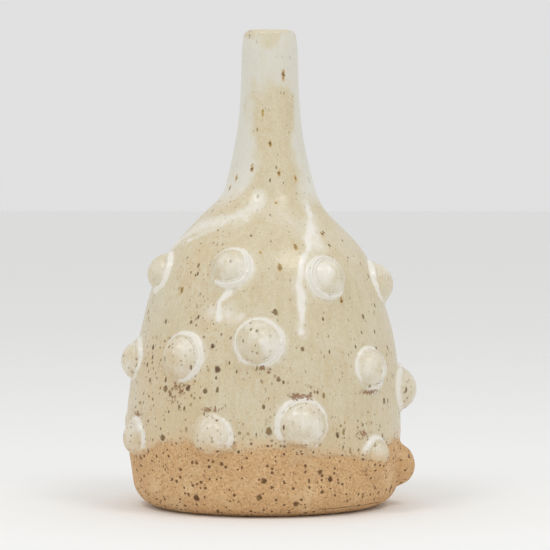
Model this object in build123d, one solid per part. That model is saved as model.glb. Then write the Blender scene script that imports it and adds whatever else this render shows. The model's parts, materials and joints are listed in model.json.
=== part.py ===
"""Hand-built stoneware bottle vase with round clay knobs, in millimetres.

The vase stands on Z = 0 with the middle of its foot at the origin, and its front faces -Y.
A rolled base slab carries a pinched body wall, a shoulder dome and a drawn neck. A coil is
pressed into the corner between slab and wall, and each knob is a ball of clay that is pushed
on to the outside and held by a bead of joining slip.
"""

import math
import os

from build123d import *

# ---- Heights ----------------------------------------------------------------------------
base_thickness = 8.0  # rolled slab, also the floor inside
belly_height = 32.0  # widest level of the body, above the foot
wall_height = 84.0  # joint between body wall and shoulder, above the foot
shoulder_height = 40.0  # from that joint up to the neck joint
neck_waist_rise = 21.3  # from the neck joint up to where the neck stops flaring
neck_length = 76.0  # from the neck joint up to the lip

# ---- Outside radii ----------------------------------------------------------------------
foot_radius = 55.6  # at the slab, before its edge is rounded
belly_radius = 57.8
wall_top_radius = 50.1
neck_root_radius = 25.1
neck_waist_radius = 15.9
lip_radius = 11.4

# ---- Clay thickness and edges -----------------------------------------------------------
wall_thickness = 5.5  # body wall and shoulder
neck_wall = 5.0  # where the neck leaves the shoulder
bore_radius = 7.0  # straight bore at the mouth
bore_length = 32.0  # from the lip down to where the bore widens
throat_overlap = 7.0  # the bore and the cavity reach this far into each other
tip_share = 0.8  # the cavity's tip against the bore's radius
foot_edge_round = 12.0
lip_outer_round = 2.6
lip_round_ease = 0.15  # how far outside the lip its outer round starts, so no ledge is left
lip_inner_round = 1.5
seam_coil_radius = 4.5

# ---- How the hand-built form strays from round ------------------------------------------
foot_lean = -0.4
belly_lean = -2.1  # the body bulges to the left of the foot's middle
shoulder_lean = -1.3
neck_lean = 0.3
short_axis_share = 0.98  # the cross-sections are slightly oval
oval_turn = 18.0  # the oval's long axis, turned from +X towards the back
oval_points = 12
sections = 24

# ---- Knobs ------------------------------------------------------------------------------
knob_sink = 2.3  # how far a ball's middle lies below the surface it is pushed on to
slip_bead_radius = 2.0
slip_bead_sink = 0.3
upper_row_rise = 14.0  # above the joint between body wall and shoulder
middle_row_height = 62.0  # above the foot
lower_row_height = 30.0  # above the foot

# Each knob is (turn from the front towards +X in degrees, height from its row's level,
# radius of its ball).
upper_row = [
    (-74, 1.0, 8.4),
    (-21, 4.0, 8.0),
    (33, -0.5, 8.5),
    (84, -4.0, 9.2),
    (134, 2.0, 8.2),
    (183, -2.0, 8.8),
    (235, 3.0, 8.1),
]
middle_row = [
    (-79.5, 0.0, 8.6),
    (-40, 3.5, 9.3),
    (-4.5, 10.0, 9.3),
    (50.5, -2.0, 8.3),
    (87, -12.5, 9.7),
    (130, 4.0, 8.7),
    (172, -3.0, 9.2),
    (226, 7.0, 8.5),
]
lower_row = [
    (-67, 0.5, 7.9),
    (-24, 3.5, 8.5),
    (14, 8.5, 10.0),
    (52.5, -6.5, 8.1),
    (88, -13.0, 9.2),
    (126, -3.0, 8.4),
    (165, 6.0, 9.0),
    (204, -6.0, 8.2),
    (249, 3.0, 8.8),
]

neck_joint_height = wall_height + shoulder_height
lip_height = neck_joint_height + neck_length
bore_bottom = lip_height - bore_length


def stretch(bottom, top, shares):
    """Levels between two others, each a share of the way up, across and over in lean."""
    return [
        tuple(low + (high - low) * share for low, high, share in zip(bottom, top, level))
        for level in shares
    ]


def outer_levels():
    """The outside's outline, bottom to top, as (height, half width, lean towards +X)."""
    foot = (0.0, foot_radius, foot_lean)
    belly = (belly_height, belly_radius, belly_lean)
    wall_top = (wall_height, wall_top_radius, shoulder_lean)
    neck_root = (neck_joint_height, neck_root_radius, shoulder_lean)
    neck_waist = (neck_joint_height + neck_waist_rise, neck_waist_radius, neck_lean)
    lip = (lip_height, lip_radius, neck_lean)
    return [
        foot,
        *stretch(foot, belly, [(0.5, 0.45, 0.75)]),
        belly,
        *stretch(belly, wall_top, [(0.3, 0.1, 0.35), (0.6, 0.36, 0.95), (0.8, 0.64, 1.3)]),
        wall_top,
        *stretch(wall_top, neck_root, [(0.25, 0.13, 1), (0.5, 0.3, 1), (0.65, 0.47, 1), (0.8, 0.7, 1)]),
        neck_root,
        *stretch(neck_root, neck_waist, [(0.21, 0.4, 0.7), (0.52, 0.7, 1)]),
        neck_waist,
        *stretch(neck_waist, lip, [(0.26, 0.6, 1), (0.65, 0.9, 1)]),
        lip,
    ]


def cavity_levels():
    """The inside's outline from the floor to a tip that lies within the bore.

    The wall keeps its thickness square to the outside, so it reads wider on a slope.
    """
    outside = outer_levels()
    levels = []
    for below, here, above in zip(outside, outside[1:], outside[2:]):
        height, half_width, lean = here
        slope = (above[1] - below[1]) / (above[0] - below[0])
        thickness = wall_thickness if height < neck_joint_height else neck_wall
        inside = half_width - thickness * math.hypot(1, slope)
        if base_thickness < height < bore_bottom and inside > bore_radius:
            levels.append((height, inside, lean))
    floor = (base_thickness, levels[0][1], levels[0][2])
    tip = (bore_bottom + throat_overlap, tip_share * bore_radius, neck_lean)
    return [floor, *levels, tip]


def oval(half_width, lean, height):
    """One closed cross-section of the form."""
    points = []
    for step in range(oval_points):
        turn = 2 * math.pi * step / oval_points
        points.append((half_width * math.cos(turn), half_width * short_axis_share * math.sin(turn)))
    section = make_face(Spline(points, periodic=True))
    return Pos(lean, 0, height) * Rot(0, 0, oval_turn) * section


def form(levels):
    """A closed solid through ovals that are evenly spaced along a smooth outline."""
    outline = Spline([(half_width, lean, height) for height, half_width, lean in levels])
    stations = [outline @ (step / sections) for step in range(sections + 1)]
    return loft([oval(station.X, station.Y, station.Z) for station in stations])


def turned(*edges):
    """A ring or plug turned about the neck's middle from an outline of (radius, height)."""
    return Pos(neck_lean, 0) * revolve(Plane.XZ * make_face(list(edges)), Axis.Z)


def lip_waste():
    """The ring that is wiped off to round the lip's outer edge."""
    edge_height = lip_height - lip_outer_round
    edge_radius = lip_radius + lip_round_ease
    turn_radius = edge_radius - lip_outer_round
    above = lip_height + lip_outer_round
    arc = CenterArc((turn_radius, edge_height), lip_outer_round, 0, 90)
    clear = Polyline(
        (turn_radius, lip_height),
        (turn_radius, above),
        (2 * lip_radius, above),
        (2 * lip_radius, edge_height),
        (edge_radius, edge_height),
    )
    return turned(arc, clear)


def bore():
    """The straight bore, opened out at the mouth by the lip's inner round."""
    edge_height = lip_height - lip_inner_round
    turn_radius = bore_radius + lip_inner_round
    above = lip_height + lip_inner_round
    below = bore_bottom - throat_overlap
    wall = Line((bore_radius, below), (bore_radius, edge_height))
    arc = CenterArc((turn_radius, edge_height), lip_inner_round, 180, -90)
    clear = Polyline(
        (turn_radius, lip_height), (turn_radius, above), (0, above), (0, below), (bore_radius, below)
    )
    return turned(wall, arc, clear)


def solid_form():
    """The vase's outside as one full solid, with the foot and the lip rounded."""
    full = form(outer_levels())
    foot_edge = full.faces().sort_by(Axis.Z)[0].edges()
    return fillet(foot_edge, foot_edge_round) - lip_waste()


def cavity():
    """The space inside, from the floor up through the bore and out of the mouth."""
    return form(cavity_levels()) + bore()


def slice_between(solid, low, high):
    """The part of a solid between two heights."""
    wide = 4 * max(belly_radius, foot_radius)
    return solid & Pos(0, 0, (low + high) / 2) * Box(wide, wide, high - low)


def knob_seat(full, turn, height):
    """The plane that touches the outside at a knob's place, with its normal outwards."""
    angle = math.radians(turn)
    outwards = Vector(math.sin(angle), -math.cos(angle), 0)
    hits = full.find_intersection_points(Axis((0, 0, height), outwards))
    point, normal = max(hits, key=lambda hit: hit[0].dot(outwards))
    if normal.dot(outwards) < 0:
        normal = -normal
    return Plane(origin=point, z_dir=normal)


def knob(full, seat, radius):
    """A ball of clay pushed on to the wall, and the bead of slip round its foot."""
    ball = seat * Pos(0, 0, -knob_sink) * Sphere(radius)
    contact_radius = math.sqrt(radius**2 - knob_sink**2)
    bead = seat * Pos(0, 0, -slip_bead_sink) * Torus(contact_radius, slip_bead_radius)
    return ball - full, bead - full - ball


def build():
    """Every piece of the vase, by name."""
    full = solid_form()
    inside = cavity()
    vessel = full - inside
    floor_height, floor_radius, floor_lean = cavity_levels()[0]
    seam_coil = Pos(floor_lean, 0, floor_height) * Torus(floor_radius, seam_coil_radius)
    pieces = {
        "base_slab": slice_between(vessel, 0, base_thickness),
        "body_wall": slice_between(vessel, base_thickness, wall_height),
        "shoulder": slice_between(vessel, wall_height, neck_joint_height),
        "neck": slice_between(vessel, neck_joint_height, lip_height),
        "floor_seam_coil": seam_coil & inside,
    }
    rows = {
        "upper": (wall_height + upper_row_rise, upper_row),
        "middle": (middle_row_height, middle_row),
        "lower": (lower_row_height, lower_row),
    }
    for row, (level, places) in rows.items():
        for number, (turn, rise, radius) in enumerate(places, start=1):
            seat = knob_seat(full, turn, level + rise)
            ball, bead = knob(full, seat, radius)
            pieces[f"knob_{row}_{number}"] = ball
            pieces[f"slip_bead_{row}_{number}"] = bead
    return pieces


os.makedirs("parts", exist_ok=True)
for name, piece in build().items():
    export_step(piece, f"parts/{name}.step")
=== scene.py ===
"""Builds the looks of a hand-built stoneware bottle vase round its CAD parts, in metres.

The pot is turned from the outline of its CAD sections, laid on their surfaces, given the
lumps of hand building and parted again where the sections meet. Each knob is a pushed-on
ball with a bead of slip and pooled glaze round its foot. One glaze material, and the wax
line above the bare foot, run over all of them.
"""

import itertools
import json
import math

import bpy
import numpy as np
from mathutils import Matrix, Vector
from mathutils.bvhtree import BVHTree

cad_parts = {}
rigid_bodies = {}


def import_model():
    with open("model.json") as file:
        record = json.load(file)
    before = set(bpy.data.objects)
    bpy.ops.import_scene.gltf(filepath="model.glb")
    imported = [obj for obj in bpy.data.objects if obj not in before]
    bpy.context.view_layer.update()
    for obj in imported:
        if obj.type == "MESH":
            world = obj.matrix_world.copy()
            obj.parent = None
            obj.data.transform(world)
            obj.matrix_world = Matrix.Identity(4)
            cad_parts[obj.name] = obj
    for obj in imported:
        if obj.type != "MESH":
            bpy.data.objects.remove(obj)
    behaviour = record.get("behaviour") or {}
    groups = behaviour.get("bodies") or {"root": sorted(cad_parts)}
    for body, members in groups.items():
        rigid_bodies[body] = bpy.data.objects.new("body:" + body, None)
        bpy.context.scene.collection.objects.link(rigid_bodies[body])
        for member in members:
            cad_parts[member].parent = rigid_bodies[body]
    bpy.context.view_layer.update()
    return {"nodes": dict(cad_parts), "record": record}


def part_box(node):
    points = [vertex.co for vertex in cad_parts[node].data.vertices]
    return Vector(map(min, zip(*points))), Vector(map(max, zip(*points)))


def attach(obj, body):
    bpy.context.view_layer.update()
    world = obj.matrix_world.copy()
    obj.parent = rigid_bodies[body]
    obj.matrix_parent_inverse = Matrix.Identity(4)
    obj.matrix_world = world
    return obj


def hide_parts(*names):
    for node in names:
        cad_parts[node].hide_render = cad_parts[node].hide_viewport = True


bl_info = {
    "name": "Knobbed Stoneware Vase",
    "version": (1, 0, 0),
    "blender": (4, 5, 0),
    "location": "3D View > Sidebar > Vase",
    "description": "Models, glazes and lights a hand-built stoneware vase with clay knobs",
    "category": "Add Mesh",
}

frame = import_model()

MM = 0.001
UP = np.array((0.0, 0.0, 1.0))
SECTIONS = ("base_slab", "body_wall", "shoulder", "neck")
KNOB_NODES = sorted(name for name in frame["nodes"] if name.startswith("knob_"))
JOINT_HEIGHTS = [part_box(name)[1].z for name in SECTIONS[:3]]
FLOOR_HEIGHT = JOINT_HEIGHTS[0]
LIP_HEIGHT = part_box("neck")[1].z
BELLY_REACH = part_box("body_wall")[1].y
MOUTH = next(mount for mount in frame["record"]["mounts"] if mount["name"] == "mouth")
BORE_RADIUS = MOUTH["dims"]["r_mm"] * MM

# The wax line under the glaze, as (turn from the front towards +X in degrees, height in mm).
WAX_LINE = [
    (-180, 27), (-150, 24), (-125, 30), (-100, 26), (-80, 24), (-65, 23), (-45, 30), (-34, 31),
    (-25, 27), (-14, 28), (-6, 29), (10, 29), (20, 26), (30, 25), (40, 24), (52, 21), (62, 27),
    (75, 29), (95, 30), (120, 24), (145, 28), (165, 31),
]  # fmt: skip

# Where the glaze ran thick and white: (width in mm, strength, [(turn, height in mm), ...]).
WHITE_RUNS = [
    (5.5, 0.62, [(-8, 130), (-20, 123), (-42, 120), (-66, 117), (-84, 110)]),
    (3.2, 0.55, [(-28, 123), (-45, 117), (-62, 112)]),
    (4.5, 0.6, [(60, 150), (50, 133), (40, 120), (32, 110)]),
    (2.3, 0.9, [(46, 126), (37, 118), (26, 110), (19, 103), (16, 94)]),
    (6.0, 0.45, [(46, 124), (26, 109), (16, 94)]),
    (2.2, 0.9, [(16, 94), (15.5, 85)]),
    (1.5, 0.9, [(15.5, 85), (15, 76)]),
    (3.5, 0.45, [(16, 92), (15, 76)]),
    (2.1, 0.95, [(-20, 92), (-24, 88), (-24, 82)]),
    (5.0, 0.5, [(-28, 84), (-13, 82)]),
    (5.0, 0.9, [(120, 132), (118, 116), (124, 100)]),
    (9.0, 0.35, [(-12, 130), (8, 122), (30, 116)]),
    (6.0, 0.7, [(158, 140), (166, 124), (186, 113), (214, 108)]),
    (3.0, 0.9, [(202, 112), (203, 98), (203, 84)]),
    (5.0, 0.8, [(-110, 134), (-112, 112), (-122, 98)]),
]

# Where iron burnt through: (turn, height, half width, half height in mm, strength).
IRON_PATCHES = [
    (12, 50, 5, 1.7, 1), (17, 49, 2, 2.4, 1), (11, 30.4, 7, 1.2, 1), (-40, 52.5, 6, 3.4, 0.75),
    (-43, 48, 4, 3, 0.6), (-48, 60, 5, 5, 0.3), (48, 50.5, 8, 1.2, 1), (-24, 44.5, 6, 1.5, 0.9),
    (-66, 40.5, 5, 1.5, 0.9), (43, 33.5, 4.6, 2.6, 0.75), (-14, 30, 1.8, 1.8, 1),
    (-3, 62, 1.6, 1.5, 1), (0, 60, 1, 1.4, 1), (132, 56, 6, 1.8, 0.9), (168, 49.5, 6, 2.4, 0.8),
    (206, 34, 6, 1.8, 0.9), (228, 58, 5, 2.7, 0.8),
]  # fmt: skip

# Single large iron spots: (turn, height and radius in mm).
IRON_SPOTS = [
    (-22, 61, 1.15), (-47, 52, 0.95), (-35, 53, 0.95), (-27, 52, 0.8), (-44, 50, 0.7),
    (-39, 45, 0.7), (-25, 70, 0.8), (15, 69, 0.75), (4, 57, 0.75), (0, 36, 1.3),
    (-47, 32, 1.2), (-32, 8, 1.25), (-2, 16, 1.0), (27, 16, 0.9), (22, 19, 0.9),
    (-4, 9, 1.0), (12, 6, 1.1), (46, 19, 1.2), (60, 46, 1.0), (30, 34, 0.8),
    (70, 9, 1.0), (-54, 79, 0.7), (3, 84, 0.95), (-60, 68, 0.7), (-62, 61, 0.8),
    (-21, 28, 1.2), (-58, 55, 0.7), (160, 70, 1.0), (185, 40, 1.2), (215, 66, 0.9),
    (100, 74, 0.9),
]  # fmt: skip

# Flecks of amber where iron bled high up in thick glaze: (turn, height and radius in mm).
AMBER_FLECKS = [
    (30, 181, 0.85), (-25, 142, 0.8), (-60, 134, 0.6), (-50, 138, 0.6), (38, 138, 0.5),
    (43, 115, 0.9), (17, 110, 0.95), (6, 102, 1.0), (39, 88, 0.7), (-28, 97, 0.8),
    (-48, 92, 0.85), (-5, 108, 0.6), (2, 152, 0.6), (14, 140, 0.6), (-12, 165, 0.55),
    (8, 128, 0.6), (150, 104, 0.9), (195, 118, 0.8), (240, 108, 0.8), (170, 150, 0.7),
    (105, 140, 0.7),
]  # fmt: skip

# How the glaze gathered round each knob that differs: (thick side, thin side, thickness).
# A side is read like a clock from outside, in degrees from the top towards the right.
GLAZE_GATHER = {
    "knob_upper_1": (90, 240, 0.9), "knob_upper_2": (115, 265, 1.3),
    "knob_upper_3": (285, 110, 1.5), "knob_upper_4": (330, 150, 0.9),
    "knob_middle_1": (40, 220, 0.8), "knob_middle_2": (60, 205, 1.1),
    "knob_middle_3": (130, 188, 1.4), "knob_middle_4": (140, 215, 1.4),
    "knob_middle_5": (300, 170, 0.9), "knob_lower_1": (60, 210, 0.7),
    "knob_lower_2": (120, 200, 0.75), "knob_lower_3": (325, 185, 1.1),
    "knob_lower_4": (320, 160, 0.8), "knob_lower_5": (60, 200, 0.35),
}  # fmt: skip
USUAL_GATHER = (40, 200, 0.95)

BEAD_DROP = 8  # how far from the wall a bead looks for it, in mm
GRAIN_BEND = 0.25  # how far grains are bent, as a share of their spacing
KNOB_ROOT = 1.9 * MM  # how far a knob goes on inside the wall
SAME_PLACE = 0.001 * MM  # vertices nearer than this are merged
WAX_FADE = 6 * MM  # the height over which the glaze thins out at the wax line
BALL_FIT_ROUNDS = 6
PROBE_TURNS = 16

SOFTBOX_TURN = 42
SOFTBOX_RISE = 56
SOFTBOX_DISTANCE = 1.1
FLOOR_SIZE = 12

# Large numbers that stir the cells of the noise, and masks that keep its low bits.
CELL_MIX = np.array((73856093, 19349663, 83492791))
SEED_MIX = 2654435761
BIT_MIX = 0x2C1B3C6D
LOW_32_BITS = 0xFFFFFFFF
LOW_24_BITS = 0xFFFFFF


# Small tools.


def linear(red, green, blue):
    """A display colour from 0 to 255 as linear light, with full alpha."""
    parts = [part / 255 for part in (red, green, blue)]
    return (*(p / 12.92 if p <= 0.04045 else ((p + 0.055) / 1.055) ** 2.4 for p in parts), 1.0)


def smooth(values, low, high):
    """0 below low, 1 above high and an eased rise between them."""
    share = np.clip((values - low) / (high - low), 0, 1)
    return share * share * (3 - 2 * share)


def hump(values):
    """1 at 0, falling to 0 on both sides over about 1."""
    return np.exp(-(values**2))


def scatter(cells, seed):
    """A random value from -1 to 1 for each whole-numbered cell."""
    mixed = cells @ CELL_MIX + seed * SEED_MIX
    for _ in range(2):
        mixed = mixed & LOW_32_BITS
        mixed = (mixed ^ (mixed >> 15)) * BIT_MIX
    return (mixed & LOW_24_BITS) / (LOW_24_BITS // 2) - 1


def noise(points, size, seed, stretch=1.0):
    """Smooth random values from -1 to 1 that change over a size in mm, longer upright."""
    cell = points / (size * MM * np.array((1, 1, stretch)))
    base = np.floor(cell).astype(np.int64)
    part = cell - base
    part = part * part * (3 - 2 * part)
    total = np.zeros(len(points))
    for corner in itertools.product((0, 1), repeat=3):
        weight = np.where(corner, part, 1 - part).prod(axis=1)
        total += weight * scatter(base + corner, seed)
    return total


def corners(mesh):
    """A mesh's vertices as an array of points."""
    flat = np.empty(len(mesh.vertices) * 3)
    mesh.vertices.foreach_get("co", flat)
    return flat.reshape(-1, 3)


def corner_normals(mesh):
    """A mesh's vertex normals as an array."""
    flat = np.empty(len(mesh.vertices) * 3, dtype=np.float32)
    mesh.vertex_normals.foreach_get("vector", flat)
    return flat.reshape(-1, 3).astype(float)


def move_corners(mesh, points):
    """Puts a mesh's vertices at the points."""
    mesh.vertices.foreach_set("co", np.ascontiguousarray(points, dtype=np.float32).ravel())
    mesh.update()


def surface_of(objects):
    """The faces of several objects as one surface for rays to meet."""
    points = []
    faces = []
    for part in objects:
        start = len(points)
        points.extend(vertex.co.copy() for vertex in part.data.vertices)
        faces.extend([start + index for index in face.vertices] for face in part.data.polygons)
    return BVHTree.FromPolygons(points, faces)


def choose(thing):
    """Selects one object alone and makes it active."""
    bpy.ops.object.select_all(action="DESELECT")
    thing.select_set(True)
    bpy.context.view_layer.objects.active = thing


def finish_piece(piece, node):
    """Hides a CAD node, so that the piece stands for it, and fixes the piece to the root body."""
    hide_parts(node)
    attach(piece, "root")


def on_pot(skin, turn, height):
    """The point on the outside at a turn in degrees and a height in mm."""
    angle = math.radians(turn)
    outwards = Vector((math.sin(angle), -math.cos(angle), 0))
    start = Vector((0, 0, height * MM)) + outwards * 3 * BELLY_REACH
    return np.array(skin.ray_cast(start, -outwards)[0])


# Knob places.


class Seat:
    """Where a knob sits: its ball, its point on the wall and its axes."""

    def __init__(self, name, skin):
        self.name = name
        self.fit_ball(corners(frame["nodes"][name].data))
        self.find_axes(skin)
        sink = (self.point - self.middle) @ self.out
        self.foot_radius = math.sqrt(self.radius**2 - sink**2)
        self.thick_side, self.thin_side, self.thickness = GLAZE_GATHER.get(name, USUAL_GATHER)

    def fit_ball(self, spots):
        """Fits a ball to the CAD knob's vertices, leaving out its cut foot."""
        for _ in range(BALL_FIT_ROUNDS):
            system = np.column_stack((2 * spots, np.ones(len(spots))))
            found = np.linalg.lstsq(system, (spots**2).sum(axis=1), rcond=None)[0]
            self.middle = found[:3]
            self.radius = math.sqrt(found[3] + self.middle @ self.middle)
            miss = abs(np.linalg.norm(spots - self.middle, axis=1) - self.radius)
            spots = spots[miss <= max(0.02 * MM, np.percentile(miss, 75))]

    def find_axes(self, skin):
        """Finds the wall's point under the ball, and the ways out, up and right."""
        level = Vector((self.middle[0], self.middle[1], 0)).normalized()
        outside = Vector(self.middle) + level * 3 * self.radius
        normal = skin.ray_cast(outside, -level)[1]
        point, out = skin.find_nearest(Vector(self.middle) + normal * self.radius)[:2]
        self.point = np.array(point)
        self.out = np.array(out)
        up = UP - self.out * (UP @ self.out)
        self.up = up / np.linalg.norm(up)
        self.right = np.cross(self.up, self.out)

    def around(self, points):
        """Each point's distance from the knob's axis, clock side and height."""
        offset = points - self.point
        right = offset @ self.right
        up = offset @ self.up
        return np.hypot(right, up), np.arctan2(right, up), offset @ self.out

    def gather(self, side):
        """How thick the glaze gathered at a clock side, 1 being usual."""
        thick = 0.5 + 0.5 * np.cos(side - math.radians(self.thick_side))
        from_thin = (side - math.radians(self.thin_side) + 3 * math.pi) % (2 * math.pi) - math.pi
        thin = hump(from_thin / 0.5)
        return self.thickness * (0.42 + 0.75 * thick**1.5) * (1 - 0.75 * thin)


def all_seats(skin):
    """Every knob's seat on the outside of the pot."""
    return [Seat(name, skin) for name in KNOB_NODES]


# Paint.


def distance_to_run(points, stops):
    """Each point's distance to a line through the stops."""
    nearest = np.full(len(points), np.inf)
    for start, end in itertools.pairwise(stops):
        along = end - start
        share = np.clip((points - start) @ along / (along @ along), 0, 1)
        away = np.linalg.norm(points - start - share[:, None] * along, axis=1)
        nearest = np.minimum(nearest, away)
    return nearest


def wax_height(points):
    """The height of the wax line at each point's turn."""
    turn = np.degrees(np.arctan2(points[:, 0], -points[:, 1]))
    turns, heights = zip(*WAX_LINE)
    return np.interp(turn, turns, heights, period=360) * MM


def wax_wobble(points):
    """The slow wander of the wax line at each point."""
    return noise(points, 9, 11) * 1.2 * MM


def above_wax(points, wobble):
    """Each point's height above the wax line, as a share of the glaze's fade."""
    return (points[:, 2] - wax_height(points) + wobble) / WAX_FADE


def white_runs(points, skin):
    """How white each point is from the runs of thick glaze."""
    white = np.zeros(len(points))
    wander = np.column_stack([noise(points, 6, seed) for seed in (22, 23, 24)]) * 0.9 * MM
    for width, strength, stops in WHITE_RUNS:
        line = [on_pot(skin, turn, height) for turn, height in stops]
        ragged = width * MM * (1 + 0.55 * noise(points, 5, 21, 1.6))
        run = strength * hump(distance_to_run(points + wander, line) / ragged)
        white = np.maximum(white, run)
    return white


def neck_white_and_edge_sheen(points, turn):
    """How white each point is from glaze that hung on the neck near its top, and from painted sheen
    down the neck's sides as seen from the front.
    """
    neck = smooth(points[:, 2], JOINT_HEIGHTS[2] - 6 * MM, JOINT_HEIGHTS[2] + 12 * MM)
    ragged = 0.3 * noise(points, 8, 31, 3.0) + 0.2 * noise(points, 3.5, 33, 2.0)
    # Painted sheen: the neck is whiter down its left and right sides as seen from the front, and
    # tan in front and behind.
    sides = smooth(abs(np.sin(turn - math.radians(13))) + ragged, 0.3, 0.8)
    wavy = points[:, 2] + (noise(points, 9, 32) * 7 + noise(points, 3.5, 34) * 4) * MM
    top = smooth(wavy, LIP_HEIGHT - 40 * MM, LIP_HEIGHT - 20 * MM)
    rim = smooth(wavy, LIP_HEIGHT - 6 * MM, LIP_HEIGHT)
    return neck * (0.75 * sides + 0.7 * top * (1 - sides)) * (1 - 0.55 * rim)


def white_round_knob(points, seat):
    """How white each point is on a knob and in the ring round its foot."""
    away, side, height = seat.around(points)
    gathered = seat.gather(side)
    crest = 0.75 * MM + 0.35 * MM * noise(points, 5, 63)
    ring = hump((away - seat.foot_radius - crest) / (1.0 * MM))
    halo = 0.42 * hump(np.maximum(away - seat.foot_radius, 0) / (4.2 * MM))
    foot = np.where(height < 4.0 * MM, ring * gathered * 1.25, 0)
    ball = np.where(away < seat.foot_radius, 0.42 + 0.2 * noise(points, 5, 64), 0)
    near = abs(height) < 2.2 * seat.radius
    return np.where(near, np.maximum(foot, np.maximum(halo * gathered, ball)), 0)


def iron_stain(points, skin):
    """How much burnt iron shows at each point, from the patches."""
    iron = np.zeros(len(points))
    for turn, height, half_width, half_height, strength in IRON_PATCHES:
        offset = points - on_pot(skin, turn, height)
        across = np.hypot(offset[:, 0], offset[:, 1]) / (half_width * MM)
        over = offset[:, 2] / (half_height * MM)
        iron = np.maximum(iron, strength * np.exp(-(across**2) - over**2))
    return iron


def warmth(points, turn, skin):
    """How far the clay shows through, most of all low down on the left."""
    left = smooth(-np.sin(turn), -0.2, 0.9)
    low = 1 - smooth(points[:, 2], 30 * MM, 85 * MM)
    rosy = on_pot(skin, -47, 58)
    blotch = 0.6 * hump(np.linalg.norm(points - rosy, axis=1) / (15 * MM))
    warm = 0.22 + 0.45 * low + 0.25 * left + blotch + 0.45 * noise(points, 16, 41)
    return np.clip(warm, 0, 1)


def paint(points, skin, seats):
    """The glaze's cover, white pooling with painted sheen on the neck's sides, iron and warmth at
    each point.

    Cover is 0 at the wax line, 1 well above it and below 0 on bare clay.
    """
    turn = np.arctan2(points[:, 0], -points[:, 1])
    wobble = wax_wobble(points) + noise(points, 3, 12) * 0.8 * MM
    cover = np.clip(above_wax(points, wobble), -1, 1)
    # White is real pooled glaze, with painted sheen down the neck's sides.
    white = np.maximum(white_runs(points, skin), neck_white_and_edge_sheen(points, turn))
    for seat in seats:
        white = np.maximum(white, white_round_knob(points, seat))
    return {
        "glaze_cover": cover,
        "glaze_white_and_sheen": np.clip(white * smooth(cover, 0.0, 0.5), 0, 1),
        "glaze_iron": iron_stain(points, skin),
        "glaze_warm": warmth(points, turn, skin),
    }


def brush_on(piece, skin, seats):
    """Stores the paint in a piece's vertices."""
    points = corners(piece.data)
    for name, values in paint(points, skin, seats).items():
        layer = piece.data.attributes.new(name, "FLOAT", "POINT")
        layer.data.foreach_set("value", values.astype(np.float32))


# The pot.


def probe(cad, origins, aims):
    """Where rays meet the CAD pot, all as (distance from the axis, height), averaged round it."""
    hits = []
    for (reach, height), (aside, rise) in zip(origins, aims):
        found = []
        for angle in np.linspace(0, 2 * math.pi, PROBE_TURNS, endpoint=False):
            outwards = Vector((math.cos(angle), math.sin(angle), 0))
            aim = outwards * aside + Vector((0, 0, rise))
            spot = cad.ray_cast(outwards * reach + Vector((0, 0, height)), aim)[0]
            found.append((math.hypot(spot.x, spot.y), spot.z))
        hits.append(np.mean(found, axis=0))
    return hits


def fan(middle, start, end, reach, steps=24):
    """Origins round a point of the half-plane and aims back at it, from angle to angle."""
    origins = []
    aims = []
    for angle in np.radians(np.linspace(start, end, steps)):
        way = np.array((math.cos(angle), math.sin(angle)))
        origins.append(np.array(middle) + way * reach)
        aims.append(-way)
    return origins, aims


def evenly(path, spacing):
    """A path's points spaced evenly, without its first one."""
    path = np.array(path)
    run = np.concatenate(([0], np.cumsum(np.linalg.norm(np.diff(path, axis=0), axis=1))))
    count = max(2, round(run[-1] / spacing))
    places = np.linspace(0, run[-1], count + 1)[1:]
    return np.column_stack([np.interp(places, run, path[:, axis]) for axis in (0, 1)])


def pot_outline(cad, pot):
    """The pot's half outline, from under the foot over the lip to the floor inside."""
    fine = 0.5 * MM
    fold = 0.25 * BELLY_REACH
    far = 2 * BELLY_REACH
    foot_flat = BELLY_REACH - fold
    lip_turn = 3.2 * MM
    lip_foot = LIP_HEIGHT - lip_turn
    lip_middle = (BORE_RADIUS + 2.2 * MM, lip_foot)

    def level(start, *heights):
        """Where level rays meet the wall, from the axis or from far outside."""
        aim = -1 if start else 1
        return probe(cad, [(start, height) for height in heights], [(aim, 0)] * len(heights))

    foot_round = probe(cad, *fan((foot_flat, fold), -89, -30, far - foot_flat))
    foot_edge = (foot_round[0][0], 0.0)
    to_slab_top = [hit for hit in foot_round if hit[1] < FLOOR_HEIGHT - fine]
    over_lip = probe(cad, *fan(lip_middle, 0, 180, lip_turn + 0.8 * MM, 40))
    near_floor = np.arange(FLOOR_HEIGHT + 6 * MM, FLOOR_HEIGHT + fine, -fine)[-1]
    floor_rim = (level(0, near_floor)[0][0], FLOOR_HEIGHT)
    stretches = [
        ([(0.0, 0.0), foot_edge], pot.inside_grid),
        ([foot_edge, *to_slab_top, *level(far, FLOOR_HEIGHT)], pot.grid),
    ]
    for low, high in itertools.pairwise([*JOINT_HEIGHTS, lip_foot]):
        end = over_lip[0] if high == lip_foot else level(far, high)[0]
        stretches.append(([*level(far, low, *np.arange(low + fine, high, fine)), end], pot.grid))
    stretches.append((over_lip, pot.grid / 2))
    start = over_lip[-1]
    for high, low in itertools.pairwise([lip_foot, *JOINT_HEIGHTS[::-1]]):
        stop, end = (low, level(0, low)[0]) if low > FLOOR_HEIGHT else (low + fine, floor_rim)
        inside = level(0, *np.arange(high - fine, stop, -fine))
        stretches.append(([start, *inside, end], pot.inside_grid))
        start = end
    stretches.append(([floor_rim, (0.0, FLOOR_HEIGHT)], 2 * pot.inside_grid))
    outline = [(0.0, 0.0)]
    for path, spacing in stretches:
        outline.extend(evenly(path, spacing))
    return outline


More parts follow.
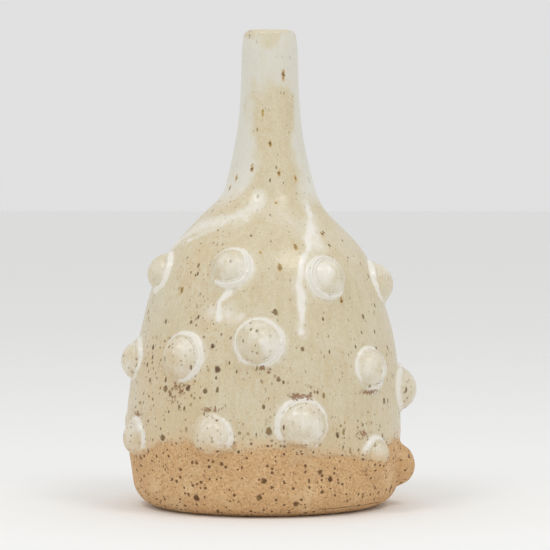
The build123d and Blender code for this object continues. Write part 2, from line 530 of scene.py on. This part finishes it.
def smooth_outwards(piece):
    """Merges doubled vertices, points the faces outwards and shades them smooth."""
    choose(piece)
    bpy.ops.object.mode_set(mode="EDIT")
    bpy.ops.mesh.select_all(action="SELECT")
    bpy.ops.mesh.remove_doubles(threshold=SAME_PLACE)
    bpy.ops.mesh.normals_make_consistent(inside=False)
    bpy.ops.object.mode_set(mode="OBJECT")
    bpy.ops.object.shade_smooth()


def turn_pot(outline, steps):
    """The outline as a line, screwed once round the axis into a closed pot."""
    line = bpy.data.curves.new("pot_outline", "CURVE")
    line.dimensions = "3D"
    spline = line.splines.new("POLY")
    spline.points.add(len(outline) - 1)
    for point, (reach, height) in zip(spline.points, outline):
        point.co = (reach, 0, height, 1)
    pot = bpy.data.objects.new("pot", line)
    bpy.context.scene.collection.objects.link(pot)
    choose(pot)
    bpy.ops.object.convert(target="MESH")
    pot = bpy.context.object
    bpy.ops.object.modifier_add(type="SCREW")
    turn = pot.modifiers[-1]
    turn.axis = "Z"
    turn.steps = turn.render_steps = steps
    turn.use_merge_vertices = True
    turn.merge_threshold = SAME_PLACE
    bpy.ops.object.modifier_apply(modifier=turn.name)
    smooth_outwards(pot)
    return pot


def mark_sections(mesh):
    """Notes for each face which of the pot's sections it belongs to."""
    heights = np.array([face.center.z for face in mesh.polygons])
    section = sum((heights > joint + 0.1 * MM).astype(np.int32) for joint in JOINT_HEIGHTS)
    layer = mesh.attributes.new("section", "INT", "FACE")
    layer.data.foreach_set("value", section.astype(np.int32))


def lay_on(mesh, cad):
    """Moves each vertex on to the CAD surface, level on the walls."""
    points = corners(mesh)
    normals = corner_normals(mesh)
    on_wall = abs(normals[:, 2]) < 0.75
    normals[on_wall, 2] = 0
    normals /= np.linalg.norm(normals, axis=1)[:, None]
    reach = 5 * MM
    for index, (point, normal) in enumerate(zip(points, normals)):
        way = Vector(normal)
        hit = cad.ray_cast(Vector(point) + way * reach, -way, 2 * reach)[0]
        if hit is not None:
            points[index] = hit
    move_corners(mesh, points)


def shape_by_hand(mesh, cad, pot):
    """Gives the outside the lumps of hand building and the thickness of the glaze."""
    points = corners(mesh)
    normals = corner_normals(mesh)
    from_axis = points[:, :2] / np.maximum(np.hypot(points[:, 0], points[:, 1]), MM)[:, None]
    outside = smooth((normals[:, :2] * from_axis).sum(axis=1), -0.2, 0.4)
    outside *= smooth(points[:, 2], 0.4 * MM, 4 * MM)
    wall = 1 - 0.6 * smooth(points[:, 2], JOINT_HEIGHTS[2] - 20 * MM, JOINT_HEIGHTS[2] + 20 * MM)
    lumps = 0.7 * noise(points, 17, 1) + 0.3 * noise(points, 7, 2)
    wipes = noise(points, 3.5, 3, 6.0)
    cover = above_wax(points, wax_wobble(points))
    roll = hump((cover - 0.25) / 0.25)
    glaze = pot.glaze_thickness * (smooth(cover, -0.1, 0.3) + 0.35 * roll)
    depth = wall * (pot.lump_depth * lumps + pot.wipe_depth * wipes) + glaze
    points += normals * (outside * depth)[:, None]
    ease = smooth(points[:, 2], LIP_HEIGHT - 10 * MM, LIP_HEIGHT) ** 1.5
    points[:, :2] -= from_axis * (outside * pot.lip_ease * ease)[:, None]
    move_corners(mesh, points)


def close_joint(mesh, joint):
    """In edit mode, bridges the open rims at a joint's height, if there are any."""
    bpy.ops.mesh.select_all(action="DESELECT")
    bpy.ops.mesh.select_non_manifold()
    bpy.ops.object.mode_set(mode="OBJECT")
    near = 0
    for edge in mesh.edges:
        height = mesh.vertices[edge.vertices[0]].co.z
        edge.select = edge.select and abs(height - joint) < 3 * MM
        near += edge.select
    bpy.ops.object.mode_set(mode="EDIT")
    if near:
        bpy.ops.mesh.bridge_edge_loops()


def part_section(pot, index, name):
    """One section cut from the pot, closed at its joints, with the pot's shading."""
    choose(pot)
    bpy.ops.object.duplicate()
    piece = bpy.context.object
    piece.name = piece.data.name = name
    mesh = piece.data
    section = np.empty(len(mesh.polygons), dtype=np.int32)
    mesh.attributes["section"].data.foreach_get("value", section)
    bpy.ops.object.mode_set(mode="EDIT")
    bpy.ops.mesh.select_mode(type="FACE")
    bpy.ops.object.mode_set(mode="OBJECT")
    mesh.polygons.foreach_set("select", section != index)
    bpy.ops.object.mode_set(mode="EDIT")
    bpy.ops.mesh.delete(type="FACE")
    bpy.ops.mesh.select_mode(type="EDGE")
    for joint in JOINT_HEIGHTS:
        close_joint(mesh, joint)
    bpy.ops.object.mode_set(mode="OBJECT")
    keep_shading(mesh)
    for spare in ("section", "pot_normal"):
        mesh.attributes.remove(mesh.attributes[spare])
    return piece


def keep_shading(mesh):
    """Shades a section with the whole pot's normals, so that joints don't show."""
    stored = np.empty(len(mesh.vertices) * 3, dtype=np.float32)
    mesh.attributes["pot_normal"].data.foreach_get("vector", stored)
    stored = stored.reshape(-1, 3)
    shading = [None] * len(mesh.loops)
    for face in mesh.polygons:
        flat = tuple(face.normal)
        joint = abs(face.normal.z) > 0.9 and face.area > 3 * MM * MM
        for loop in face.loop_indices:
            vertex = mesh.loops[loop].vertex_index
            shading[loop] = flat if joint else tuple(stored[vertex])
    mesh.normals_split_custom_set(shading)


# Knobs and slip beads.


def model_knob(seat, knobs):
    """A pushed-on ball: a sphere with fingertip dents, cut off inside the wall."""
    bpy.ops.object.select_all(action="DESELECT")
    bpy.ops.mesh.primitive_ico_sphere_add(
        subdivisions=knobs.subdivisions, radius=seat.radius, location=seat.middle
    )
    piece = bpy.context.object
    bpy.ops.object.transform_apply(location=True, rotation=True, scale=True)
    piece.name = piece.data.name = f"{seat.name}_glazed"
    root = seat.point - seat.out * KNOB_ROOT
    bpy.ops.object.mode_set(mode="EDIT")
    bpy.ops.mesh.select_all(action="SELECT")
    bpy.ops.mesh.bisect(plane_co=root, plane_no=seat.out, use_fill=True, clear_inner=True)
    bpy.ops.object.mode_set(mode="OBJECT")
    bpy.ops.object.shade_smooth()
    points = corners(piece.data)
    rays = (points - seat.middle) / np.linalg.norm(points - seat.middle, axis=1)[:, None]
    dents = noise(points, 6.5, 51) + 0.4 * noise(points, 2.8, 52)
    sag = -0.35 * (rays @ seat.up) * smooth(rays @ seat.out, 0.0, 0.6)
    shown = smooth((points - seat.point) @ seat.out, -1.5 * MM, 0.5 * MM)
    depth = knobs.dent_depth * dents + 0.2 * MM * sag
    move_corners(piece.data, points + rays * (depth * shown)[:, None])
    return piece


def bead_profile(seat, beads, around, across):
    """How far out from the knob's foot, and how high, each point of a bead stands."""
    circle = np.column_stack((np.sin(around), np.cos(around), np.zeros(len(around)))) * 9 * MM
    place = circle + seat.middle
    ragged = noise(place, 4.5, 61) + 0.5 * noise(place, 1.8, 62)
    gathered = np.clip(seat.gather(around) * (1 + 0.45 * ragged), 0.06, 1.6)
    width = beads.width * (0.7 + 0.4 * gathered + 0.15 * noise(place, 6, 65))
    inner = -1.1 * MM
    away = width + (inner - width) * abs(across) / math.pi
    skirt = (0.5 + 0.5 * np.cos(math.pi * np.clip(away / width, 0, 1))) ** 1.5
    crest_at = 0.6 * MM + 0.35 * MM * noise(place, 5, 63)
    crest = hump((away - crest_at) / (0.5 * MM))
    fillet = 1.5 * MM * np.exp(-np.maximum(away - inner * 0.4, 0) / (0.42 * MM))
    height = beads.height * gathered * (0.6 * skirt + 0.55 * crest) + fillet
    return away, np.where(across >= 0, height - 0.06 * MM, -0.7 * MM)


def model_bead(seat, skin, beads):
    """The slip and glaze round a knob's foot: a ring pulled into a skirt."""
    bpy.ops.object.select_all(action="DESELECT")
    bpy.ops.mesh.primitive_torus_add(
        major_radius=seat.foot_radius,
        minor_radius=beads.width / 2,
        major_segments=beads.segments,
        minor_segments=beads.profile_segments,
    )
    piece = bpy.context.object
    piece.name = piece.data.name = f"{bead_node(seat)}_glazed"
    ring = corners(piece.data)
    around = np.arctan2(ring[:, 0], ring[:, 1])
    across = np.arctan2(ring[:, 2], np.hypot(ring[:, 0], ring[:, 1]) - seat.foot_radius)
    away, height = bead_profile(seat, beads, around, across)
    reach = seat.foot_radius + away
    laid = seat.point + reach[:, None] * (
        np.sin(around)[:, None] * seat.right + np.cos(around)[:, None] * seat.up
    )
    out = Vector(seat.out)
    for index, spot in enumerate(laid):
        start = Vector(spot) + out * BEAD_DROP * MM
        hit = skin.ray_cast(start, -out, 2 * BEAD_DROP * MM)[0]
        laid[index] = hit if hit is not None else spot
    move_corners(piece.data, laid + height[:, None] * seat.out)
    smooth_outwards(piece)
    return piece


def bead_node(seat):
    """The name of the CAD node of the bead round a seat's knob."""
    return seat.name.replace("knob", "slip_bead")


# Materials.


class Value:
    """A number, colour or place on the surface. Numbers can be used in sums."""

    def __init__(self, shader, socket):
        self.shader = shader
        self.socket = socket

    def maths(self, operation, *values):
        """A Math node on the values."""
        return self.shader.node("ShaderNodeMath", {"operation": operation}, dict(enumerate(values)))

    def __add__(self, other):
        return self.maths("ADD", self, other)

    def __sub__(self, other):
        return self.maths("SUBTRACT", self, other)

    def __rsub__(self, other):
        return self.maths("SUBTRACT", other, self)

    def __mul__(self, other):
        return self.maths("MULTIPLY", self, other)

    __radd__ = __add__
    __rmul__ = __mul__

    def step(self, low, high):
        """0 below low, 1 above high and an eased rise between them."""
        values = {"Value": self, "From Min": low, "From Max": high}
        return self.shader.node("ShaderNodeMapRange", {"interpolation_type": "SMOOTHSTEP"}, values)

    def other(self, output):
        """Another output of the same node."""
        return Value(self.shader, self.socket.node.outputs[output])


class Shader:
    """A node material under construction."""

    def __init__(self, name):
        self.material = bpy.data.materials.new(name)
        self.material.use_nodes = True
        self.tree = self.material.node_tree
        self.surface = self.tree.nodes["Principled BSDF"]
        self.place = self.node("ShaderNodeTexCoord", output="Object")

    def node(self, kind, settings=None, values=None, output=0):
        """Any node, from its type, its settings, and the values or links of its sockets."""
        made = self.tree.nodes.new(kind)
        for name, value in (settings or {}).items():
            setattr(made, name, value)
        for name, value in (values or {}).items():
            self.give(made.inputs[name], value)
        return Value(self, made.outputs[output])

    def give(self, socket, value):
        """Links a value to a socket, or sets the socket."""
        if isinstance(value, Value):
            self.tree.links.new(value.socket, socket)
        else:
            socket.default_value = value

    def mix(self, share, first, second):
        """A colour between two others."""
        colours = {0: share, 6: first, 7: second}
        return self.node("ShaderNodeMix", {"data_type": "RGBA"}, colours, output=2)

    def coated(self, colour, *coats):
        """A colour under coats, each a share and the colour that covers it."""
        for share, coat in coats:
            colour = self.mix(share, colour, coat)
        return colour

    def vector(self, operation, first, second):
        """A Vector Math node on two places."""
        return self.node("ShaderNodeVectorMath", {"operation": operation}, {0: first, 1: second})

    def painted(self, name):
        """A value that was brushed on to the vertices."""
        return self.node("ShaderNodeAttribute", {"attribute_name": name}, output="Fac")

    def drawn_out(self, stretch, shift):
        """The place on the surface, shifted, with patterns drawn out upright."""
        place = self.vector("MULTIPLY", self.place, (1, 1, 1 / stretch))
        return self.vector("ADD", place, shift)

    def cloud(self, size, detail, stretch=1.0, seed=0):
        """Soft noise round 0.5 with features of a size in mm, longer upright."""
        place = self.drawn_out(stretch, (0.37 * seed, 0.71 * seed, 0.19 * seed))
        values = {"Vector": place, "Scale": 1 / (size * MM), "Detail": detail}
        return self.node("ShaderNodeTexNoise", None, values)

    def grains(self, spacing, share, largest, stretch=1.0, seed=0, soft=0.08):
        """1 within scattered grains. Their largest radius is a share of the spacing in mm."""
        spacing = spacing * MM
        place = self.drawn_out(stretch, (0.23 * seed, 0.57 * seed, 0.41 * seed))
        values = {"Vector": place, "Scale": 1.3 / spacing}
        bend = self.node("ShaderNodeTexNoise", None, values, output="Color")
        bend = self.vector("SUBTRACT", bend, (0.5, 0.5, 0.5))
        bend = self.vector("MULTIPLY", bend, (GRAIN_BEND * spacing,) * 3)
        place = self.vector("ADD", place, bend)
        cell = self.node("ShaderNodeTexVoronoi", None, {"Vector": place, "Scale": 1 / spacing})
        chance = self.node("ShaderNodeSeparateColor", None, {"Color": cell.other("Color")})
        radius = (chance - (1 - share)) * (largest / share)
        return (radius - cell).step(0, soft)

    def finish(self, colour, roughness, relief):
        """The material with its colour, its roughness and its relief in mm."""
        bump = {"Height": relief, "Distance": MM, "Strength": 1.0}
        self.give(self.surface.inputs["Base Color"], colour)
        self.give(self.surface.inputs["Roughness"], roughness)
        self.give(self.surface.inputs["Normal"], self.node("ShaderNodeBump", None, bump))
        return self.material


def sandy_clay(shader, glaze):
    """Bare clay: its colour with painted shade in small pits, its relief, its sand and its dark
    grog.
    """
    sand = shader.cloud(0.9, 3, seed=1)
    broad = shader.cloud(7, 2, seed=2)
    washed = shader.cloud(11, 2, seed=14)
    pale_sand = shader.grains(1.5, 0.6, 0.42, seed=3)
    grog = shader.grains(1.7, 0.6, 0.48, seed=4)
    shaded_pits = shader.grains(1.0, 0.55, 0.42, seed=5)
    clay = shader.coated(
        glaze.clay_dark,
        (sand.step(0.3, 0.7), glaze.clay_light),
        (broad.step(0.35, 0.65) * 0.5, glaze.clay),
        (washed.step(0.52, 0.72) * 0.5, glaze.clay_pale),
        (pale_sand * 0.55, glaze.clay_pale),
        # Painted shade: small dented pits darkened with the clay shadow colour.
        (shaded_pits * 0.55, glaze.clay_shadow),
        (grog * 0.85, glaze.iron),
    )
    relief = (sand - 0.5) * 0.35 + pale_sand * 0.06 - grog * 0.22 - shaded_pits * 0.1
    return clay, relief, sand, grog


def glaze_tone(shader, glaze, warm, clouds, mottle):
    """The glaze before its iron: its colour, and its white pools with the painted sheen down the
    neck's sides.
    """
    streaks = shader.cloud(2.6, 3, stretch=6, seed=6)
    grit = shader.cloud(0.75, 2, stretch=1.3, seed=15)
    blush = (warm + (mottle - 0.5) * 1.3 + (streaks - 0.5) * 0.7).step(0.45, 1.0)
    tone = shader.coated(
        glaze.cream,
        (streaks.step(0.3, 0.74) * 0.8, glaze.tan),
        (clouds.step(0.4, 0.7) * 0.55, glaze.pale),
        (blush * 0.7, glaze.warm),
        (mottle.step(0.48, 0.7) * 0.5, glaze.tan),
        (grit.step(0.52, 0.68) * 0.55, glaze.tan),
        ((1 - grit.step(0.32, 0.48)) * 0.7, glaze.pale),
    )
    white = shader.painted("glaze_white_and_sheen")
    pool_and_sheen = (white + (streaks - 0.5) * 0.5 + (mottle - 0.5) * 0.5).step(0.15, 0.85)
    height = shader.node("ShaderNodeSeparateXYZ", None, {"Vector": shader.place}, output="Z")
    high = height.step(0.55 * LIP_HEIGHT, 0.75 * LIP_HEIGHT)
    # High up this white also paints the sheen down the neck's sides.
    milk_and_sheen = shader.mix(high, glaze.white, glaze.milk_and_sheen)
    return shader.mix(pool_and_sheen * 0.95, tone, milk_and_sheen), pool_and_sheen


def speckled(shader, glaze, tone, pool_and_sheen, warm, iron_tone):
    """The glaze with iron bled through it, in olive rings: its colour and its specks."""
    few_in_white = 1 - pool_and_sheen.step(0.1, 0.8) * 0.75
    bled = {"spacing": 2.7, "share": 0.62, "stretch": 2.0, "seed": 9}
    specks = shader.grains(largest=0.28, soft=0.07, **bled)
    rings = shader.grains(largest=0.36, soft=0.14, **bled)
    dust = shader.grains(1.25, 0.6, 0.32, stretch=2.2, seed=10, soft=0.12)
    low_specks = shader.grains(1.8, 0.8, 0.42, stretch=1.2, seed=11, soft=0.08)
    tone = shader.coated(
        tone,
        (rings * 0.25 * few_in_white, glaze.olive),
        (dust * 0.62 * few_in_white, glaze.speck),
        (specks * 0.85 * few_in_white, iron_tone),
        (low_specks * warm.step(0.4, 0.8) * (1 - pool_and_sheen) * 0.8, iron_tone),
    )
    return tone, specks


def spotted(shader, colour, spots, squeeze, shade, iron_tone, crumble, skin):
    """The colour with large spots put on one by one, drawn out upright by a small squeeze."""
    place = shader.vector("MULTIPLY", shader.place, (1, 1, squeeze))
    for turn, height, radius in spots:
        middle = tuple(on_pot(skin, turn, height) * (1, 1, squeeze))
        away = shader.vector("DISTANCE", place, middle).other("Value")
        inside = radius - away * (1 / MM) - (crumble - 0.5) * 1.8
        whole, heart = inside.step(-0.4, 0.3), inside.step(0.1, 0.45)
        colour = shader.coated(colour, (whole * 0.8, shade), (heart * 0.8, iron_tone))
    return colour


def glaze_material(glaze, skin):
    """The pot's surface: speckled glaze, and bare clay below the wax line."""
    shader = Shader("speckled_glaze")
    cover = shader.painted("glaze_cover")
    warm = shader.painted("glaze_warm")
    clouds = shader.cloud(13, 2, stretch=1.6, seed=7)
    mottle = shader.cloud(1.6, 3, stretch=1.5, seed=8)
    crumble = shader.cloud(1.1, 3, seed=12)
    hue = shader.cloud(5, 1, seed=13).step(0.42, 0.6)
    iron_tone = shader.mix(hue, glaze.iron, glaze.speck)
    clay, sandy, sand, grog = sandy_clay(shader, glaze)
    tone, pool_and_sheen = glaze_tone(shader, glaze, warm, clouds, mottle)
    tone, specks = speckled(shader, glaze, tone, pool_and_sheen, warm, iron_tone)

    # Crumbs of burnt iron, and the thin edge above the wax line with the grog showing.
    crumbs = (shader.painted("glaze_iron") + (crumble - 0.5) * 1.9).step(0.48, 0.8)
    thin = 1 - (cover + (crumble - 0.5) * 1.2 + (clouds - 0.5) * 0.6).step(0.1, 0.85)
    tone = shader.coated(
        tone,
        (crumbs * 0.8, glaze.crumb),
        (thin * 0.75, glaze.thin),
        (thin * grog * 0.8, glaze.iron),
    )
    glazed = (cover + (crumble - 0.5) * 0.9 + (sand - 0.5) * 0.5).step(-0.12, 0.16)
    colour = shader.mix(glazed, clay, tone)
    for spots, squeeze, shade in ((IRON_SPOTS, 0.8, glaze.iron), (AMBER_FLECKS, 0.38, glaze.amber)):
        colour = spotted(shader, colour, spots, squeeze, shade, iron_tone, crumble, skin)

    roughness = glaze.clay_roughness + glazed * (glaze.glaze_roughness - glaze.clay_roughness)
    roughness = roughness + crumbs * 0.25 + specks * 0.12 + glazed * (clouds - 0.5) * 0.2
    bumps = 0.16 + (clouds - 0.5) * 0.3 + (mottle - 0.5) * 0.12 - specks * 0.07 - crumbs * 0.12
    shader.surface.inputs["IOR"].default_value = 1.5
    return shader.finish(colour, roughness, glazed * bumps + (1 - glazed) * sandy)


def clay_material(glaze):
    """Plain fired clay, for what stays inside."""
    shader = Shader("bare_clay")
    sand = shader.cloud(0.9, 3, seed=1)
    grog = shader.grains(1.9, 0.42, 0.34, seed=4)
    sandy = (sand.step(0.32, 0.68), glaze.clay_light)
    clay = shader.coated(glaze.clay_dark, sandy, (grog * 0.8, glaze.iron))
    return shader.finish(clay, glaze.clay_roughness, (sand - 0.5) * 0.35 - grog * 0.2)


def paper_material(colour):
    """Plain matt paper for the studio floor."""
    shader = Shader("floor_paper")
    near = tuple(part * 0.985 for part in colour[:3]) + (1.0,)
    mixed = shader.mix(shader.cloud(40, 2), near, colour)
    shader.give(shader.surface.inputs["Base Color"], mixed)
    shader.surface.inputs["Roughness"].default_value = 0.9
    return shader.material


# Settings.


def length(name, description, default):
    """A setting in metres."""
    return bpy.props.FloatProperty(
        name=name, description=description, default=default, precision=5, unit="LENGTH"
    )


def number(name, description, default, least):
    """A setting that is a whole number."""
    return bpy.props.IntProperty(name=name, description=description, default=default, min=least)


def tint(name, description, red, green, blue):
    """A colour setting, given as it looks on a display."""
    return bpy.props.FloatVectorProperty(
        name=name,
        description=description,
        default=linear(red, green, blue),
        size=4,
        subtype="COLOR",
        min=0,
        max=1,
    )


def portion(name, description, default):
    """A setting from 0 to 1."""
    return bpy.props.FloatProperty(
        name=name, description=description, default=default, min=0, max=1, subtype="FACTOR"
    )


class PotSettings(bpy.types.PropertyGroup):
    """Sizes of the pot's skin."""

    grid: length("Outside grid", "Spacing of the mesh outside", 0.8 * MM)
    inside_grid: length("Inside grid", "Spacing of the mesh inside and under the foot", 4 * MM)
    lump_depth: length("Lumps", "Depth of the lumps of hand building", 0.4 * MM)
    wipe_depth: length("Wipes", "Depth of the upright finger wipes", 0.1 * MM)
    lip_ease: length("Lip ease", "How far the lip's outer edge is drawn in", 0.9 * MM)
    glaze_thickness: length("Glaze", "Thickness of the glaze above the wax line", 0.22 * MM)


class KnobSettings(bpy.types.PropertyGroup):
    """Sizes of the knobs' skins."""

    subdivisions: number("Subdivisions", "How finely each ball is divided", 6, 3)
    dent_depth: length("Dents", "Depth of the fingertip dents", 0.2 * MM)


class BeadSettings(bpy.types.PropertyGroup):
    """Sizes of the slip beads."""

    width: length("Width", "How far a bead reaches from its knob", 2.5 * MM)
    height: length("Height", "How high a bead stands on the wall", 1.6 * MM)
    segments: number("Segments", "Divisions round a bead", 168, 24)
    profile_segments: number("Profile", "Divisions round a bead's section", 28, 8)


class GlazeSettings(bpy.types.PropertyGroup):
    """Colours and gloss of the fired surface."""

    cream: tint("Cream", "Glaze of usual thickness", 216, 204, 172)
    tan: tint("Tan", "Glaze where it ran thinner in streaks", 206, 190, 154)
    pale: tint("Pale", "Glaze in its paler clouds", 219, 210, 186)
    warm: tint("Warm", "Glaze that the clay shows through", 215, 189, 147)
    white: tint("White", "Glaze where it pooled", 240, 236, 226)
    # Also the colour of the painted sheen down the neck's sides.
    milk_and_sheen: tint("Milk", "Cool white glaze on the neck", 221, 219, 207)
    thin: tint("Thin", "Glaze at the wax line", 217, 187, 146)
    olive: tint("Olive", "The ring round a bled speck", 186, 172, 112)
    speck: tint("Speck", "Fine specks in the glaze", 142, 116, 66)
    iron: tint("Iron", "Iron spots and grog", 98, 66, 36)
    amber: tint("Amber", "Flecks of amber high on the pot", 196, 160, 86)
    crumb: tint("Crumb", "Crumbs of burnt iron", 140, 90, 48)
    clay: tint("Clay", "Bare clay", 210, 169, 121)
    clay_dark: tint("Dark clay", "The darker sand of the clay", 192, 150, 103)
    clay_light: tint("Light clay", "The lighter sand of the clay", 230, 192, 144)
    clay_pale: tint("Pale sand", "Pale grains in the clay", 232, 204, 160)
    # Painted shade in the small pits of the bare clay.
    clay_shadow: tint("Clay shadow", "Small hollows in the clay", 146, 102, 62)
    glaze_roughness: portion("Glaze roughness", "Roughness of the satin glaze", 0.27)
    clay_roughness: portion("Clay roughness", "Roughness of the bare clay", 0.88)


class StageSettings(bpy.types.PropertyGroup):
    """The studio round the vase."""

    camera_distance: length("Camera distance", "From the vase's middle to the camera", 1.27)
    camera_height: length("Camera height", "Of the camera above the floor", 0.15)
    aim_height: length("Aim height", "Of the point the camera looks at", 0.097)
    aim_aside: length("Aim aside", "Of the same point to the right of the middle", 0.0025)
    view_width: length("View width", "What the camera takes in at the vase", 0.2321)
    box_power: bpy.props.FloatProperty(
        name="Softbox power", description="Light of each softbox", default=1.7, min=0, unit="POWER"
    )
    box_size: length("Softbox size", "Side of each softbox", 0.3)
    surround: bpy.props.FloatProperty(
        name="Surround", description="Brightness of the white surround", default=0.75, min=0
    )
    floor: tint("Floor", "The pale floor", 250, 250, 249)


# Operators.


def pot_skin():
    """The finished pot's surface."""
    return surface_of([bpy.data.objects[f"{name}_fired"] for name in SECTIONS])


def shared_glaze():
    """The glaze material, made when it is first needed."""
    found = bpy.data.materials.get("speckled_glaze")
    return found or glaze_material(bpy.context.scene.vase_glaze, pot_skin())


def at_each_seat(model, node_of):
    """Models and glazes a piece at each knob's seat, to stand for its CAD node."""
    skin = pot_skin()
    seats = all_seats(skin)
    for seat in seats:
        piece = model(seat, skin)
        brush_on(piece, skin, seats)
        piece.data.materials.append(shared_glaze())
        finish_piece(piece, node_of(seat))


class VASE_OT_pot(bpy.types.Operator):
    """Model the pot's four fired sections"""

    bl_idname = "vase.pot"
    bl_label = "Pot"

    def execute(self, context):
        settings = context.scene.vase_pot
        cad = surface_of([frame["nodes"][name] for name in SECTIONS])
        steps = round(2 * math.pi * BELLY_REACH / settings.grid)
        pot = turn_pot(pot_outline(cad, settings), steps)
        mark_sections(pot.data)
        lay_on(pot.data, cad)
        shape_by_hand(pot.data, cad, settings)
        skin = surface_of([pot])
        brush_on(pot, skin, all_seats(skin))
        layer = pot.data.attributes.new("pot_normal", "FLOAT_VECTOR", "POINT")
        layer.data.foreach_set("vector", corner_normals(pot.data).astype(np.float32).ravel())
        for index, name in enumerate(SECTIONS):
            piece = part_section(pot, index, f"{name}_fired")
            finish_piece(piece, name)
        bpy.data.objects.remove(pot)
        for name in SECTIONS:
            bpy.data.objects[f"{name}_fired"].data.materials.append(shared_glaze())
        return {"FINISHED"}


class VASE_OT_knobs(bpy.types.Operator):
    """Model the clay knobs"""

    bl_idname = "vase.knobs"
    bl_label = "Knobs"

    def execute(self, context):
        knobs = context.scene.vase_knobs
        at_each_seat(lambda seat, skin: model_knob(seat, knobs), lambda seat: seat.name)
        return {"FINISHED"}


class VASE_OT_slip_beads(bpy.types.Operator):
    """Model the slip and pooled glaze round the knobs"""

    bl_idname = "vase.slip_beads"
    bl_label = "Slip beads"

    def execute(self, context):
        beads = context.scene.vase_beads
        at_each_seat(lambda seat, skin: model_bead(seat, skin, beads), bead_node)
        return {"FINISHED"}


class VASE_OT_seam_coil(bpy.types.Operator):
    """Give the coil inside the pot its clay"""

    bl_idname = "vase.seam_coil"
    bl_label = "Seam coil"

    def execute(self, context):
        coil = frame["nodes"]["floor_seam_coil"]
        coil.data.materials.clear()
        coil.data.materials.append(clay_material(context.scene.vase_glaze))
        return {"FINISHED"}


class VASE_OT_stage(bpy.types.Operator):
    """Set up the floor, the lights and the camera"""

    bl_idname = "vase.stage"
    bl_label = "Stage"

    def execute(self, context):
        stage = context.scene.vase_stage
        bpy.ops.object.select_all(action="DESELECT")
        bpy.ops.mesh.primitive_plane_add(size=FLOOR_SIZE)
        floor = context.object
        floor.name = "studio_floor"
        floor.data.materials.append(paper_material(tuple(stage.floor)))
        aim = Vector((stage.aim_aside, 0, stage.aim_height))
        self.softbox("left_softbox", -SOFTBOX_TURN, aim, stage)
        self.softbox("right_softbox", SOFTBOX_TURN, aim, stage)
        surround = bpy.data.worlds.new("white_surround")
        surround.use_nodes = True
        background = surround.node_tree.nodes["Background"].inputs
        background["Color"].default_value = (1, 1, 1, 1)
        background["Strength"].default_value = stage.surround
        context.scene.world = surround
        context.scene.view_settings.view_transform = "Standard"
        lens = bpy.data.cameras.new("camera")
        camera = bpy.data.objects.new("camera", lens)
        context.scene.collection.objects.link(camera)
        camera.location = (stage.aim_aside, -stage.camera_distance, stage.camera_height)
        away = aim - camera.location
        camera.rotation_euler = away.to_track_quat("-Z", "Y").to_euler()
        lens.lens = lens.sensor_width * away.length / stage.view_width
        lens.clip_start = 0.05
        context.scene.camera = camera
        return {"FINISHED"}

    def softbox(self, name, turn, aim, stage):
        """A square soft light that faces the vase."""
        light = bpy.data.lights.new(name, "AREA")
        light.size = stage.box_size
        light.energy = stage.box_power
        lamp = bpy.data.objects.new(name, light)
        bpy.context.scene.collection.objects.link(lamp)
        side = math.radians(turn)
        up = math.radians(SOFTBOX_RISE)
        way = Vector((math.sin(side) * math.cos(up), -math.cos(side) * math.cos(up), math.sin(up)))
        lamp.location = aim + way * SOFTBOX_DISTANCE
        lamp.rotation_euler = (-way).to_track_quat("-Z", "Y").to_euler()


class VASE_PT_sidebar(bpy.types.Panel):
    """The vase's settings and steps"""

    bl_idname = "VASE_PT_sidebar"
    bl_label = "Stoneware vase"
    bl_space_type = "VIEW_3D"
    bl_region_type = "UI"
    bl_category = "Vase"

    def draw(self, context):
        for group, (settings, operator) in STEPS.items():
            box = self.layout.box()
            box.operator(operator.bl_idname)
            for name in settings.__annotations__:
                box.prop(getattr(context.scene, group), name)


STEPS = {
    "vase_pot": (PotSettings, VASE_OT_pot),
    "vase_knobs": (KnobSettings, VASE_OT_knobs),
    "vase_beads": (BeadSettings, VASE_OT_slip_beads),
    "vase_glaze": (GlazeSettings, VASE_OT_seam_coil),
    "vase_stage": (StageSettings, VASE_OT_stage),
}
CLASSES = [*itertools.chain(*STEPS.values()), VASE_PT_sidebar]


def register():
    """Registers the classes and gives scenes their settings."""
    for made in CLASSES:
        bpy.utils.register_class(made)
    for group, (settings, _) in STEPS.items():
        setattr(bpy.types.Scene, group, bpy.props.PointerProperty(type=settings))


def unregister():
    """Takes the settings and classes away again."""
    for group in STEPS:
        delattr(bpy.types.Scene, group)
    for made in reversed(CLASSES):
        bpy.utils.unregister_class(made)


def main():
    """Builds the whole scene."""
    register()
    bpy.ops.vase.pot()
    bpy.ops.vase.knobs()
    bpy.ops.vase.slip_beads()
    bpy.ops.vase.seam_coil()
    bpy.ops.vase.stage()


if __name__ == "__main__":
    main()
